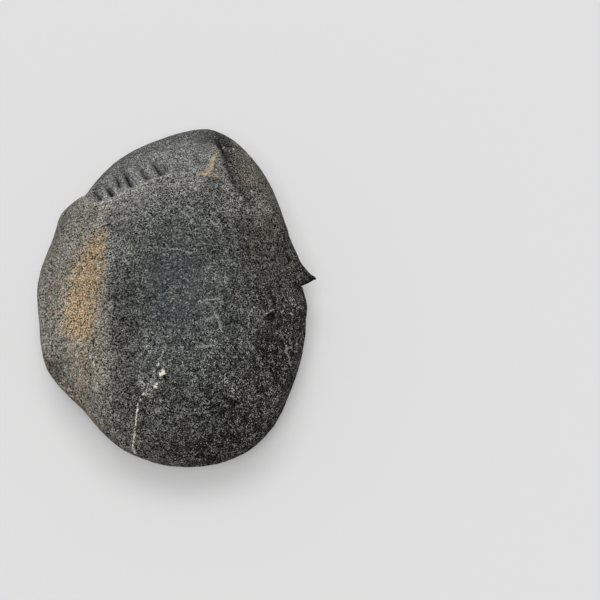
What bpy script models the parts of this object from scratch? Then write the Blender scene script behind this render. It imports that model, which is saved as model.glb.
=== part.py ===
"""A river-worn fossil nodule of dark shale, lying on its back on one small flat spot.

The stone is laid out on a flat sheet that stands square to its broad face: `across` runs to the right and `up`
towards the stone's far end. Every place on the sheet is cast onto the stone from an eye point in front of it,
and `height` is how far the stone rises towards the eye. A plain ball is stretched to the girth outline and cut
by a few broad worn planes. The fossil window, ribs, crease, chip and hollows are then carved into its surface.
The finished stone is leaned back and cut flat where it rests.
"""

import math

import bmesh
import bpy
from mathutils import Matrix, Vector, noise

# How the stone lies, in radians and metres, and the eye point that the sheet is cast from
FACE_LEAN = math.radians(25.0)
REST_CUT = 0.0238
GIRTH_FALL = 0.30
EYE = Vector((0.0375, 0.0, 0.450))

# The girth line on the sheet, clockwise from the top
GIRTH = (
    (0.0074, 0.0512), (0.0110, 0.0509), (0.0161, 0.0486), (0.0196, 0.0458), (0.0235, 0.0416),
    (0.0277, 0.0354), (0.0315, 0.0265), (0.0341, 0.0185), (0.0372, 0.0115), (0.0402, 0.0078),
    (0.0422, 0.0058), (0.0379, 0.0044), (0.0378, 0.0036), (0.0384, 0.0015), (0.0392, -0.0020),
    (0.0389, -0.0060), (0.0387, -0.0108), (0.0380, -0.0150), (0.0343, -0.0273), (0.0297, -0.0372),
    (0.0276, -0.0399), (0.0224, -0.0448), (0.0168, -0.0477), (0.0108, -0.0495), (0.0027, -0.0501),
    (-0.0036, -0.0496), (-0.0085, -0.0482), (-0.0153, -0.0453), (-0.0187, -0.0430), (-0.0222, -0.0397),
    (-0.0276, -0.0334), (-0.0328, -0.0284), (-0.0364, -0.0244), (-0.0389, -0.0205), (-0.0406, -0.0135),
    (-0.0410, -0.0075), (-0.0416, -0.0012), (-0.0416, 0.0040), (-0.0406, 0.0088), (-0.0374, 0.0171),
    (-0.0360, 0.0216), (-0.0346, 0.0254), (-0.0326, 0.0277), (-0.0283, 0.0310), (-0.0272, 0.0313),
    (-0.0255, 0.0336), (-0.0179, 0.0415), (-0.0148, 0.0436), (-0.0052, 0.0480),
)
INNER_GIRTH_SPREAD = math.radians(12.0)
EDGE_DETAIL_FADE = 12

# The rounded body: its rise over the girth and the fullness of its section (2 is an ellipse, more is squarer)
FACE_RISE = 0.0300
FACE_FULLNESS = 2.3
BACK_RISE = 0.0290
BACK_FULLNESS = 2.2

# Worn planes: height over the girth at the stone's middle, slope across, slope up, width of the soft edge
FACE_PLANES = (
    # broad face, left flank, right flank
    (0.0275, 0.00, -0.02, 0.0040),
    (0.0415, 0.75, 0.10, 0.0025),
    (0.0385, -0.62, 0.03, 0.0060),
    # lower end, upper left, low left facet
    (0.0390, 0.04, 0.48, 0.0080),
    (0.0401, 0.22, -0.48, 0.0050),
    (0.0660, 1.26, 0.58, 0.0025),
)
BACK_PLANES = (
    # middle, left, right, upper, lower
    (0.0265, 0.02, 0.04, 0.0060),
    (0.0380, 0.60, -0.10, 0.0080),
    (0.0400, -0.66, -0.12, 0.0080),
    (0.0430, 0.06, -0.62, 0.0080),
    (0.0440, -0.08, 0.60, 0.0080),
)
CROWN_RADIUS = 0.180

# The fossil window: the broken edge of the crust from the left notch to the crease, and what it bares
CRUST_EDGE = (
    (-0.0290, 0.0330), (-0.0272, 0.0313), (-0.0261, 0.0299), (-0.0238, 0.0294), (-0.0208, 0.0303),
    (-0.0186, 0.0314), (-0.0168, 0.0323), (-0.0140, 0.0338), (-0.0113, 0.0349), (-0.0081, 0.0363),
    (-0.0048, 0.0374), (-0.0017, 0.0382), (0.0026, 0.0385), (0.0068, 0.0383), (0.0083, 0.0371),
    (0.0113, 0.0375), (0.0116, 0.0416), (0.0131, 0.0446), (0.0131, 0.0469), (0.0112, 0.0507), (0.0105, 0.0530),
)
WINDOW_DEPTH = 0.0008
CRUST_EDGE_WIDTH = 0.0005
CRUST_LIP_HEIGHT = 0.0005
CRUST_LIP_WIDTH = 0.0010
CRUST_LIP_FREE_OF_CREASE = 0.0030
GIRTH_MARGIN = 0.0022
DISH = ((-0.0200, 0.0345), (-0.0120, 0.0385), (-0.0040, 0.0410), (0.0040, 0.0430), (0.0080, 0.0440))
DISH_DEPTHS = (0.0003, 0.0009)
DISH_HALF_WIDTHS = (0.0018, 0.0034)

# Grooves between the ribs: head across and up, foot across and up, depth and half width at the foot
RIB_GROOVES = (
    (-0.0243, 0.0324, -0.0236, 0.0313, 0.0008, 0.0006),
    (-0.0216, 0.0348, -0.0194, 0.0320, 0.0012, 0.0007),
    (-0.0186, 0.0377, -0.0174, 0.0351, 0.0008, 0.0006),
    (-0.0162, 0.0398, -0.0139, 0.0351, 0.0013, 0.0006),
    (-0.0116, 0.0411, -0.0090, 0.0379, 0.0013, 0.0009),
    (-0.0074, 0.0426, -0.0043, 0.0386, 0.0013, 0.0009),
    (-0.0042, 0.0425, -0.0031, 0.0401, 0.0004, 0.0006),
    (0.0003, 0.0423, 0.0012, 0.0406, 0.0003, 0.0006),
    (0.0057, 0.0449, 0.0072, 0.0425, 0.0005, 0.0006),
)
GROOVE_HEAD_WIDTH_SHARE = 0.65
GROOVE_FULL_DEPTH_SHARE = 0.4
GROOVE_END_FADE = 0.0006

# The crease where the right-hand crust laps over: its course, and its depth and half width at both ends
CREASE = (
    (0.0112, 0.0503), (0.0131, 0.0469), (0.0146, 0.0435), (0.0158, 0.0390), (0.0173, 0.0352), (0.0210, 0.0300),
)
CREASE_DEPTHS = (0.0014, 0.0002)
CREASE_HALF_WIDTHS = (0.0005, 0.0018)
LAP_HEIGHTS = (0.0012, 0.0002)
LAP_HALF_WIDTH = 0.0022

# The chip on the right flank: an arched edge with a small hollow under it, and the crack that runs to the girth
CHIP_EDGE = (
    (0.0237, -0.0072), (0.0249, -0.0066), (0.0262, -0.0056), (0.0273, -0.0043), (0.0288, -0.0036),
    (0.0300, -0.0038), (0.0308, -0.0042),
)
CHIP_DEPTH = 0.0008
CHIP_STEP_WIDTH = 0.0004
CHIP_REACH = 0.0028
CHIP_LIP_HEIGHT = 0.0003
CHIP_LIP_WIDTH = 0.0005
CHIP_END_SHARE = 0.2
CRACK = (
    (0.0266, -0.0052), (0.0276, -0.0055), (0.0291, -0.0056), (0.0300, -0.0051), (0.0360, -0.0051),
    (0.0382, -0.0043),
)
CRACK_DEPTHS = (0.0005, 0.0003)
CRACK_HALF_WIDTHS = (0.0004, 0.0004)

# The break under the pointed spur on the right, which runs on a little way down the back
SPUR_BREAK = ((0.0374, 0.0041), (0.0396, 0.0049), (0.0420, 0.0059))
SPUR_BREAK_DEPTHS = (0.0003, 0.0008)
SPUR_BREAK_HALF_WIDTHS = (0.0004, 0.0005)
SPUR_BREAK_ENDS_AT = -0.45

# Gentle unevenness left by the river: height and spacing of each size of hollow, none of it at the girth
HOLLOWS = ((0.00060, 0.0150), (0.00022, 0.0055))
HOLLOW_OFFSET = Vector((3.1, 7.7, 1.9))
HOLLOWS_FULL_AT = 0.3

# Fineness of the mesh: the ball's subdivisions, the finest edge wanted near each carved course, and its reach
BALL_SUBDIVISIONS = 6
FINE_ZONES = (
    (CRUST_EDGE, 0.0006, 0.0022),
    (tuple(groove[:2] for groove in RIB_GROOVES), 0.0006, 0.0030),
    (CREASE, 0.0006, 0.0022),
    (CHIP_EDGE, 0.0007, 0.0025),
    (CRACK, 0.0006, 0.0012),
    (SPUR_BREAK, 0.0005, 0.0035),
)
FINE_DOWN_TO = -0.6
FINE_PASSES = 2
FINISHED_SHARE = 0.20

STONE_COLOUR = (0.085, 0.086, 0.081, 1.0)
STONE_ROUGHNESS = 0.72


def clear_scene():
    for old in list(bpy.data.objects):
        bpy.data.objects.remove(old)


def smooth_step(low, high, value):
    share = min(max((value - low) / (high - low), 0.0), 1.0)
    return share * share * (3.0 - 2.0 * share)


def bell(distance, half_width):
    return math.exp(-((distance / half_width) ** 2))


def lower_of(first, second, soft_edge):
    """The lower of two heights, rounded over the width of the soft edge where they cross."""
    overlap = max(soft_edge - abs(first - second), 0.0) / soft_edge
    return min(first, second) - overlap * overlap * soft_edge / 4.0


def girth_knots():
    """The girth points as bearing and radius, sorted by bearing."""
    return sorted((math.atan2(up, across), math.hypot(across, up)) for across, up in GIRTH)


KNOTS = girth_knots()


def girth_radius(bearing):
    """The girth's distance from the middle at a bearing, on a smooth closed curve through its points."""
    count = len(KNOTS)
    after = next((i for i, knot in enumerate(KNOTS) if knot[0] > bearing), count)

    def knot(index):
        turns, place = divmod(index, count)
        angle, radius = KNOTS[place]
        return angle + turns * math.tau, radius

    (a0, r0), (a1, r1), (a2, r2), (a3, r3) = (knot(after + step) for step in (-2, -1, 0, 1))
    span = a2 - a1
    share = (bearing - a1) / span
    start_slope = (r2 - r0) / (a2 - a0) * span
    end_slope = (r3 - r1) / (a3 - a1) * span
    square, cube = share**2, share**3
    return (
        (2 * cube - 3 * square + 1) * r1
        + (cube - 2 * square + share) * start_slope
        + (3 * square - 2 * cube) * r2
        + (cube - square) * end_slope
    )


def worn_height(dome, planes, across, up):
    """The rounded body's height over a place, cut down by the worn planes, which are slightly crowned."""
    crown = (across**2 + up**2) / (2.0 * CROWN_RADIUS)
    height = dome
    for middle_height, slope_across, slope_up, soft_edge in planes:
        plane = middle_height + slope_across * across + slope_up * up - crown
        height = lower_of(height, plane, soft_edge)
    return height


def inner_radius(bearing):
    """The girth's distance with its small points and notches evened out, for the parts away from the edge."""
    turned = [bearing + step * INNER_GIRTH_SPREAD for step in (-2, -1, 0, 1, 2)]
    wrapped = [(angle + math.pi) % math.tau - math.pi for angle in turned]
    return sum(girth_radius(angle) for angle in wrapped) / len(wrapped)


def body_point(direction):
    """Place on the sheet, and height, of the ball's point in this direction once it is on the uncarved stone."""
    level = math.hypot(direction.x, direction.y)
    fullness = FACE_FULLNESS if direction.z > 0 else BACK_FULLNESS
    reach = (level**fullness + abs(direction.z) ** fullness) ** (-1.0 / fullness)
    bearing = math.atan2(direction.y, direction.x)
    inner = inner_radius(bearing)
    radius = inner + (girth_radius(bearing) - inner) * level**EDGE_DETAIL_FADE
    across = math.cos(bearing) * radius * level * reach
    up = math.sin(bearing) * radius * level * reach
    dome = abs(direction.z) * reach
    if direction.z > 0.0:
        height = worn_height(FACE_RISE * dome, FACE_PLANES, across, up)
    else:
        height = -worn_height(BACK_RISE * dome, BACK_PLANES, across, up)
    return Vector((across, up, height - GIRTH_FALL * up))


def cast(sheet_point):
    """The true place of a point given by its place on the sheet and its height, as cast from the eye."""
    nearness = (EYE.z - sheet_point.z) / EYE.z
    across = EYE.x + (sheet_point.x - EYE.x) * nearness
    up = EYE.y + (sheet_point.y - EYE.y) * nearness
    return Vector((across, up, sheet_point.z))


def along_course(course, place):
    """Signed distance of a place from a course (positive on its left) and its share along it."""
    best = (math.inf, 0.0, 0.0)
    done = 0.0
    lengths = [(Vector(b) - Vector(a)).length for a, b in zip(course, course[1:])]
    for (start, end), length in zip(zip(course, course[1:]), lengths):
        run = (Vector(end) - Vector(start)) / length
        offset = place - Vector(start)
        step = min(max(offset.dot(run), 0.0), length)
        gap = (offset - run * step).length
        if gap < best[0]:
            side = 1.0 if run.cross(offset) >= 0.0 else -1.0
            best = (gap, side, (done + step) / sum(lengths))
        done += length
    gap, side, share = best
    return gap * side, share


def cut_along(course, depths, half_widths, place):
    """Depth of a cut that follows a course, with a depth and a half width at each of its ends."""
    distance, share = along_course(course, place)
    depth = depths[0] + (depths[1] - depths[0]) * share
    half_width = half_widths[0] + (half_widths[1] - half_widths[0]) * share
    return depth * bell(distance, half_width)


def ribs(place):
    """Depth of the grooves between the ribs at a place in the window: wedges, widest at the foot."""
    deepest = 0.0
    for head_across, head_up, foot_across, foot_up, depth, half_width in RIB_GROOVES:
        head = Vector((head_across, head_up))
        run = Vector((foot_across, foot_up)) - head
        length = run.length
        run /= length
        offset = place - head
        along = offset.dot(run)
        share = min(max(along / length, 0.0), 1.0)
        width = half_width * (GROOVE_HEAD_WIDTH_SHARE + (1.0 - GROOVE_HEAD_WIDTH_SHARE) * share)
        ends = smooth_step(-GROOVE_END_FADE, GROOVE_FULL_DEPTH_SHARE * length, along)
        ends *= 1.0 - smooth_step(length, length + GROOVE_END_FADE, along)
        deepest = max(deepest, depth * ends * bell(run.cross(offset), width))
    return deepest


def window(place):
    """Relief of the fossil window: the step down from the crust, the crust's lip, the dished floor and the ribs."""
    inside, _ = along_course(CRUST_EDGE, place)
    opened = smooth_step(-CRUST_EDGE_WIDTH, CRUST_EDGE_WIDTH, inside)
    from_crease, _ = along_course(CREASE, place)
    lip = CRUST_LIP_HEIGHT * bell(inside + CRUST_LIP_WIDTH, CRUST_LIP_WIDTH)
    lip *= 1.0 - bell(from_crease, CRUST_LIP_FREE_OF_CREASE)
    dish = cut_along(DISH, DISH_DEPTHS, DISH_HALF_WIDTHS, place)
    return lip - (WINDOW_DEPTH + dish + ribs(place)) * opened


def lap(place):
    """Relief of the crease: a cut, and to its right the swelling crust that laps over it."""
    distance, share = along_course(CREASE, place)
    height = LAP_HEIGHTS[0] + (LAP_HEIGHTS[1] - LAP_HEIGHTS[0]) * share
    swelling = height * bell(distance - LAP_HALF_WIDTH, LAP_HALF_WIDTH)
    return swelling - cut_along(CREASE, CREASE_DEPTHS, CREASE_HALF_WIDTHS, place)


def chip(place):
    """Relief of the chip: a lifted lip along its arched edge, and below that a hollow that comes up again."""
    distance, share = along_course(CHIP_EDGE, place)
    ends = smooth_step(0.0, CHIP_END_SHARE, share) * smooth_step(0.0, CHIP_END_SHARE, 1.0 - share)
    below = smooth_step(-CHIP_STEP_WIDTH, CHIP_STEP_WIDTH, -distance)
    hollow = CHIP_DEPTH * below * (1.0 - smooth_step(0.0, CHIP_REACH, -distance))
    return (CHIP_LIP_HEIGHT * bell(distance - CHIP_LIP_WIDTH, CHIP_LIP_WIDTH) - hollow) * ends


def face_relief(place):
    """Everything carved into the face side at a place on the sheet, along the surface's own normal."""
    girth_gap = girth_radius(math.atan2(place.y, place.x)) - place.length
    from_girth = smooth_step(0.0, GIRTH_MARGIN, girth_gap)
    crack = cut_along(CRACK, CRACK_DEPTHS, CRACK_HALF_WIDTHS, place)
    return (window(place) + lap(place) + chip(place) - crack) * from_girth


def hollows(point):
    """The river's own unevenness, the same on every side."""
    return sum(
        height * noise.noise(point / spacing + HOLLOW_OFFSET) for height, spacing in HOLLOWS
    )


def too_long(edge):
    """Whether an edge of the ball, once it is on the stone, is longer than its zone wants."""
    if edge.verts[0].co.z < FINE_DOWN_TO:
        return False
    ends = [body_point(vertex.co) for vertex in edge.verts]
    length = (ends[1] - ends[0]).length
    middle = (ends[0] + ends[1]).xy / 2
    return any(
        length > fineness and abs(along_course(course, middle)[0]) < reach
        for course, fineness, reach in FINE_ZONES
    )


def cut_finer(ball):
    """Halves the ball's edges wherever the carving needs a finer mesh."""
    for _ in range(FINE_PASSES):
        long_edges = [edge for edge in ball.edges if too_long(edge)]
        bmesh.ops.subdivide_edges(ball, edges=long_edges, cuts=1)
        bmesh.ops.triangulate(ball, faces=ball.faces)
        for vertex in ball.verts:
            vertex.co.normalize()


def stone_mesh():
    """The whole stone as one closed mesh, lying as it rests, with its box centred over the origin."""
    stone = bmesh.new()
    bmesh.ops.create_icosphere(stone, subdivisions=BALL_SUBDIVISIONS, radius=1.0)
    cut_finer(stone)
    reliefs = []
    for vertex in stone.verts:
        side = vertex.co.z
        sheet_point = body_point(vertex.co)
        vertex.co = cast(sheet_point)
        spur_break = cut_along(SPUR_BREAK, SPUR_BREAK_DEPTHS, SPUR_BREAK_HALF_WIDTHS, sheet_point.xy)
        relief = hollows(vertex.co) * smooth_step(0.0, HOLLOWS_FULL_AT, abs(side))
        relief -= spur_break * smooth_step(SPUR_BREAK_ENDS_AT, 0.0, side)
        if side > 0.0:
            relief += face_relief(sheet_point.xy)
        reliefs.append(relief)
    stone.normal_update()
    for vertex, relief in zip(stone.verts, reliefs):
        vertex.co += vertex.normal * relief
    bmesh.ops.rotate(stone, cent=(0, 0, 0), matrix=Matrix.Rotation(FACE_LEAN, 3, "X"), verts=stone.verts)
    rest_on_flat_spot(stone)
    return stone


def rest_on_flat_spot(stone):
    """Cuts the underside level, closes it with one flat face and sets the stone down on it."""
    bmesh.ops.bisect_plane(
        stone,
        geom=stone.verts[:] + stone.edges[:] + stone.faces[:],
        plane_co=(0.0, 0.0, -REST_CUT),
        plane_no=(0.0, 0.0, -1.0),
        clear_outer=True,
    )
    rim = [edge for edge in stone.edges if edge.is_boundary]
    foot = bmesh.ops.holes_fill(stone, edges=rim, sides=0)["faces"]
    bmesh.ops.reverse_faces(stone, faces=[face for face in foot if face.normal.z > 0.0])
    lows = [min(vertex.co[axis] for vertex in stone.verts) for axis in range(3)]
    highs = [max(vertex.co[axis] for vertex in stone.verts) for axis in range(3)]
    middle = Vector(((lows[0] + highs[0]) / 2, (lows[1] + highs[1]) / 2, lows[2]))
    bmesh.ops.translate(stone, vec=-middle, verts=stone.verts)


def shale():
    material = bpy.data.materials.new("worn_black_shale")
    material.use_nodes = True
    shader = material.node_tree.nodes["Principled BSDF"]
    shader.inputs["Base Color"].default_value = STONE_COLOUR
    shader.inputs["Roughness"].default_value = STONE_ROUGHNESS
    shader.inputs["Metallic"].default_value = 0.0
    return material


def build_stone():
    shape = stone_mesh()
    mesh = bpy.data.meshes.new("shaligram_stone")
    shape.to_mesh(mesh)
    shape.free()
    mesh.shade_smooth()
    mesh.materials.append(shale())
    stone = bpy.data.objects.new("shaligram_stone", mesh)
    bpy.context.scene.collection.objects.link(stone)
    thinned = stone.modifiers.new("fewer_triangles", "DECIMATE")
    thinned.ratio = FINISHED_SHARE


clear_scene()
build_stone()
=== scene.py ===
# %% [markdown]
# # A shaligram stone
# A shaligram is a river-worn nodule of black shale that holds an ammonite. This one lies on its back,
# and along its far left edge the crust has broken away, so a row of the fossil's ribs shows. The packed
# solid already has the right bulk and place. It is opened first, because everything below is laid out
# on it.

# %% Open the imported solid
import math

import bmesh
import bpy
import numpy as np
from mathutils import Matrix, Vector, noise


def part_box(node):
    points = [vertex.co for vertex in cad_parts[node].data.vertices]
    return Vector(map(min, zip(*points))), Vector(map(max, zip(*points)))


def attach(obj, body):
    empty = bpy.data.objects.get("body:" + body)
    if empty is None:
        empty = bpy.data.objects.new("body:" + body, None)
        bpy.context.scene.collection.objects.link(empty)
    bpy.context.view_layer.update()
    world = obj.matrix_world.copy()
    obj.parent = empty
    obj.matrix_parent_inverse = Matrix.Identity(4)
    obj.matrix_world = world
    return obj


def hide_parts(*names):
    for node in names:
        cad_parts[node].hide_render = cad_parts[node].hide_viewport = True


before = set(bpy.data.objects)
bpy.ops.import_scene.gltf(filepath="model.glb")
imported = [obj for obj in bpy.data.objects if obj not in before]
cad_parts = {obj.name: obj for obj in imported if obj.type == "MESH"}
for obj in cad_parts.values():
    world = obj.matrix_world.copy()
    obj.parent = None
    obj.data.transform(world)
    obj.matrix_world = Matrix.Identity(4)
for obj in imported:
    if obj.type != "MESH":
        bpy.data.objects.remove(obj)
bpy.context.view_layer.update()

SOLID = "shaligram_stone"

# %% [markdown]
# ## Camera
# The stone is seen square to its broad face, which leans back 25 degrees, so the camera stands 65
# degrees above the table. A long lens just under half a metre away keeps the outline from swelling
# towards the middle.

# %% Stand the camera
EYE_ABOVE = math.radians(65.0)
EYE_DISTANCE = 0.45
LENS_MM, FILM_WIDTH_MM = 90.0, 36.0
LOOKED_AT = Vector((0.0372, -0.00196, 0.0238))
towards_eye = Vector((0.0, -math.cos(EYE_ABOVE), math.sin(EYE_ABOVE)))
lens = bpy.data.cameras.new("studio_camera")
lens.lens = LENS_MM
lens.sensor_width = FILM_WIDTH_MM
camera = bpy.data.objects.new("studio_camera", lens)
camera.location = LOOKED_AT + towards_eye * EYE_DISTANCE
camera.rotation_euler = towards_eye.to_track_quat("Z", "Y").to_euler()
bpy.context.scene.collection.objects.link(camera)
bpy.context.scene.camera = camera
print("camera at, mm:", [round(1000 * place) for place in camera.location])

# %% [markdown]
# ## A flat sheet to draw on
# The stone is drawn on a flat sheet that faces the eye squarely. All its places are in millimetres:
# across to the right, up towards the far end, and the height above the sheet. The outline, or girth, is
# a ring of points around it. A smooth closed curve through them is easiest as a radius for every
# bearing, because a ball can then be stretched to it.

# %% Draw the girth
GIRTH = np.array((
    (7.4, 51.2), (11.0, 50.9), (16.1, 48.6), (19.6, 45.8), (23.5, 41.6), (27.7, 35.4),
    (31.5, 26.5), (34.1, 18.5), (37.2, 11.5), (40.2, 7.8), (42.2, 5.8), (37.9, 4.4),
    (37.8, 3.6), (38.4, 1.5), (39.2, -2.0), (38.9, -6.0), (38.7, -10.8), (38.0, -15.0),
    (34.3, -27.3), (29.7, -37.2), (27.6, -39.9), (22.4, -44.8), (16.8, -47.7), (10.8, -49.5),
    (2.7, -50.1), (-3.6, -49.6), (-8.5, -48.2), (-15.3, -45.3), (-18.7, -43.0), (-22.2, -39.7),
    (-27.6, -33.4), (-32.8, -28.4), (-36.4, -24.4), (-38.9, -20.5), (-40.6, -13.5), (-41.0, -7.5),
    (-41.6, -1.2), (-41.6, 4.0), (-40.6, 8.8), (-37.4, 17.1), (-36.0, 21.6), (-34.6, 25.4),
    (-32.6, 27.7), (-28.3, 31.0), (-27.2, 31.3), (-25.5, 33.6), (-17.9, 41.5), (-14.8, 43.6),
    (-5.2, 48.0),
))
bearings = np.arctan2(GIRTH[:, 1], GIRTH[:, 0])
order = np.argsort(bearings)
bearings = bearings[order]
radii = np.hypot(GIRTH[:, 0], GIRTH[:, 1])[order]
ring_bearings = np.concatenate([bearings[-2:] - math.tau, bearings, bearings[:2] + math.tau])
ring_radii = np.concatenate([radii[-2:], radii, radii[:2]])


def girth_radius(bearing):
    """The girth's distance from the middle at each bearing, with a smooth slope through every point."""
    after = np.searchsorted(ring_bearings, bearing, side="right")
    after = np.clip(after, 2, len(ring_bearings) - 2)
    a0, a1, a2, a3 = (ring_bearings[after + step] for step in (-2, -1, 0, 1))
    r0, r1, r2, r3 = (ring_radii[after + step] for step in (-2, -1, 0, 1))
    span = a2 - a1
    share = (bearing - a1) / span
    start_slope = (r2 - r0) / (a2 - a0) * span
    end_slope = (r3 - r1) / (a3 - a1) * span
    square, cube = share**2, share**3
    level = (2 * cube - 3 * square + 1) * r1 + (3 * square - 2 * cube) * r2
    return level + (cube - 2 * square + share) * start_slope + (cube - square) * end_slope


print("girth points:", len(GIRTH), "widest reach, mm:", round(float(radii.max()), 1))

# %% [markdown]
# ## The worn body
# A river rounds a nodule into a full oval and rubs broad planes on it. So the body is an oval dome on
# each side of the girth, cut down by a few soft-edged planes. The lower of two heights, blended where
# they cross, gives the rounded arris between two planes. The girth itself sinks a little towards the
# far end.

# %% Choose the worn planes
GIRTH_FALL = 0.30
FACE_RISE, FACE_FULLNESS = 30.0, 2.3
BACK_RISE, BACK_FULLNESS = 29.0, 2.2
CROWN_RADIUS = 180.0
FACE_PLANES = (  # height at the middle, slope across, slope up, softness of the arris
    (27.5, 0.00, -0.02, 4.0),
    (41.5, 0.75, 0.10, 2.5),
    (38.5, -0.62, 0.03, 6.0),
    (39.0, 0.04, 0.48, 8.0),
    (40.1, 0.22, -0.48, 5.0),
    (66.0, 1.26, 0.58, 2.5),
)
BACK_PLANES = (
    (26.5, 0.02, 0.04, 6.0),
    (38.0, 0.60, -0.10, 8.0),
    (40.0, -0.66, -0.12, 8.0),
    (43.0, 0.06, -0.62, 8.0),
    (44.0, -0.08, 0.60, 8.0),
)
INNER_SPREAD = math.radians(12.0)
EDGE_DETAIL_FADE = 12
print("face planes:", len(FACE_PLANES), "back planes:", len(BACK_PLANES))

# %% [markdown]
# ## From a ball to the stone
# Every point of a ball has a bearing and a share of the way from its pole to its girth. The bearing
# gives the radius that stretches the point sideways, and the dome with its planes gives the height. The
# small steps of the girth fade out quickly towards the middle. Last, what stands higher is drawn nearer
# to the line of the eye, because an outline seen from half a metre away is a little larger than the
# stone is there.

# %% Shape the body
def worn_height(dome, planes, sheet):
    """The dome's height at each place, cut down by slightly crowned planes."""
    crown = (sheet**2).sum(axis=1) / (2.0 * CROWN_RADIUS)
    height = dome
    for middle, slope_across, slope_up, softness in planes:
        plane = middle + slope_across * sheet[:, 0] + slope_up * sheet[:, 1] - crown
        overlap = np.maximum(softness - np.abs(height - plane), 0.0) / softness
        height = np.minimum(height, plane) - overlap**2 * softness / 4.0
    return height


def body(directions):
    """Where each point of a ball goes on the sheet, and its height, on the stone before it is carved."""
    level = np.hypot(directions[:, 0], directions[:, 1])
    bearing = np.arctan2(directions[:, 1], directions[:, 0])
    facing = directions[:, 2] > 0.0
    fullness = np.where(facing, FACE_FULLNESS, BACK_FULLNESS)
    reach = (level**fullness + np.abs(directions[:, 2]) ** fullness) ** (-1.0 / fullness)
    turned = [bearing + step * INNER_SPREAD for step in (-2, -1, 0, 1, 2)]
    inner = sum(girth_radius((angle + math.pi) % math.tau - math.pi) for angle in turned) / len(turned)
    radius = (inner + (girth_radius(bearing) - inner) * level**EDGE_DETAIL_FADE) * level * reach
    sheet = np.column_stack([np.cos(bearing) * radius, np.sin(bearing) * radius])
    dome = np.abs(directions[:, 2]) * reach
    face = worn_height(FACE_RISE * dome, FACE_PLANES, sheet)
    back = -worn_height(BACK_RISE * dome, BACK_PLANES, sheet)
    return sheet, np.where(facing, face, back) - GIRTH_FALL * sheet[:, 1]


EYE = np.array((37.5, 0.0, 450.0))  # the camera's place over the sheet, in millimetres


def cast(sheet, height):
    """True places of sheet points, drawn nearer to the eye's own line the higher they stand."""
    nearness = ((EYE[2] - height) / EYE[2])[:, None]
    return np.column_stack([EYE[:2] + (sheet - EYE[:2]) * nearness, height])


face_middle = body(np.array([(0.0, 0.0, 1.0)]))[1][0]
print("middle of the face, mm up:", round(float(face_middle), 1))

# %% [markdown]
# ## Courses
# The ribs, the crease, the chip and the veins all follow lines on the face. Each line is a short course
# of points. A helper gives every place its distance from a course, positive on the left of its run, and
# how far along the course it lies. Everything that follows a line is then one bell-shaped cut or ridge
# along it.

# %% Lay out the courses
CRUST_EDGE = (
    (-29.0, 33.0), (-27.2, 31.3), (-26.1, 29.9), (-23.8, 29.4), (-20.8, 30.3), (-18.6, 31.4),
    (-16.8, 32.3), (-14.0, 33.8), (-11.3, 34.9), (-8.1, 36.3), (-4.8, 37.4), (-1.7, 38.2),
    (2.6, 38.5), (6.8, 38.3), (8.3, 37.1), (11.3, 37.5), (11.6, 41.6), (13.1, 44.6),
    (13.1, 46.9), (11.2, 50.7), (10.5, 53.0),
)
DISH = ((-20.0, 34.5), (-12.0, 38.5), (-4.0, 41.0), (4.0, 43.0), (8.0, 44.0))
CREASE = ((11.2, 50.3), (13.1, 46.9), (14.6, 43.5), (15.8, 39.0), (17.3, 35.2), (21.0, 30.0))
CHIP_EDGE = (
    (23.7, -7.2), (24.9, -6.6), (26.2, -5.6), (27.3, -4.3), (28.8, -3.6), (30.0, -3.8),
    (30.8, -4.2),
)
CHIP_FOOT = (
    (26.6, -5.2), (27.6, -5.5), (29.1, -5.6), (30.0, -5.1), (32.6, -5.1), (36.0, -5.1),
    (38.2, -4.3),
)
SPUR_BREAK = ((37.4, 4.1), (39.6, 4.9), (42.0, 5.9))
RIDGE = (
    (-21.0, 31.0), (-21.5, 18.0), (-21.2, 6.0), (-20.8, 0.0), (-19.8, -15.0), (-18.2, -27.0),
    (-14.0, -45.0),
)
LOW_ARRIS = (
    (-44.0, -12.5), (-39.3, -15.9), (-33.9, -21.9), (-30.0, -27.0), (-25.5, -34.0), (-21.0, -41.0),
)

crust_steps = np.diff(np.array(CRUST_EDGE), axis=0)
print("crust edge, mm:", round(float(np.linalg.norm(crust_steps, axis=1).sum())))

# %% Measure from a course
def along(course, sheet):
    """Signed distance of each place from a course, and its share along the course."""
    best = np.full(len(sheet), np.inf)
    signed = np.zeros(len(sheet))
    share = np.zeros(len(sheet))
    points = np.array(course)
    lengths = np.linalg.norm(np.diff(points, axis=0), axis=1)
    done = 0.0
    for start, end, length in zip(points, points[1:], lengths):
        run = (end - start) / length
        offset = sheet - start
        step = np.clip(offset @ run, 0.0, length)
        gap = np.linalg.norm(offset - step[:, None] * run, axis=1)
        side = np.where(run[0] * offset[:, 1] - run[1] * offset[:, 0] >= 0.0, 1.0, -1.0)
        nearer = gap < best
        best = np.where(nearer, gap, best)
        signed = np.where(nearer, gap * side, signed)
        share = np.where(nearer, (done + step) / lengths.sum(), share)
        done += length
    return signed, share


def bell(distance, half_width):
    return np.exp(-((distance / half_width) ** 2))


def rise(low, high, value):
    """A soft step from 0 at low to 1 at high."""
    share = np.clip((value - low) / (high - low), 0.0, 1.0)
    return share * share * (3.0 - 2.0 * share)


def cut(course, depths, half_widths, sheet):
    """A bell-shaped cut along a course, with a depth and a half width at each of its ends."""
    distance, share = along(course, sheet)
    depth = depths[0] + (depths[1] - depths[0]) * share
    return depth * bell(distance, half_widths[0] + (half_widths[1] - half_widths[0]) * share)


middle_to_crease = along(CREASE, np.zeros((1, 2)))[0][0]
print("from the middle to the crease, mm:", round(float(abs(middle_to_crease))))

# %% [markdown]
# ## A ball with the right fineness
# The stone starts as an icosphere, which has no poles to pinch. Small forms need a fine mesh, but a
# fine mesh everywhere would be wasteful. So only the edges that would be too long for their place on
# the finished stone are cut in half, a few times over. Smoothing the vertices afterwards evens the
# triangles out.

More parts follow.
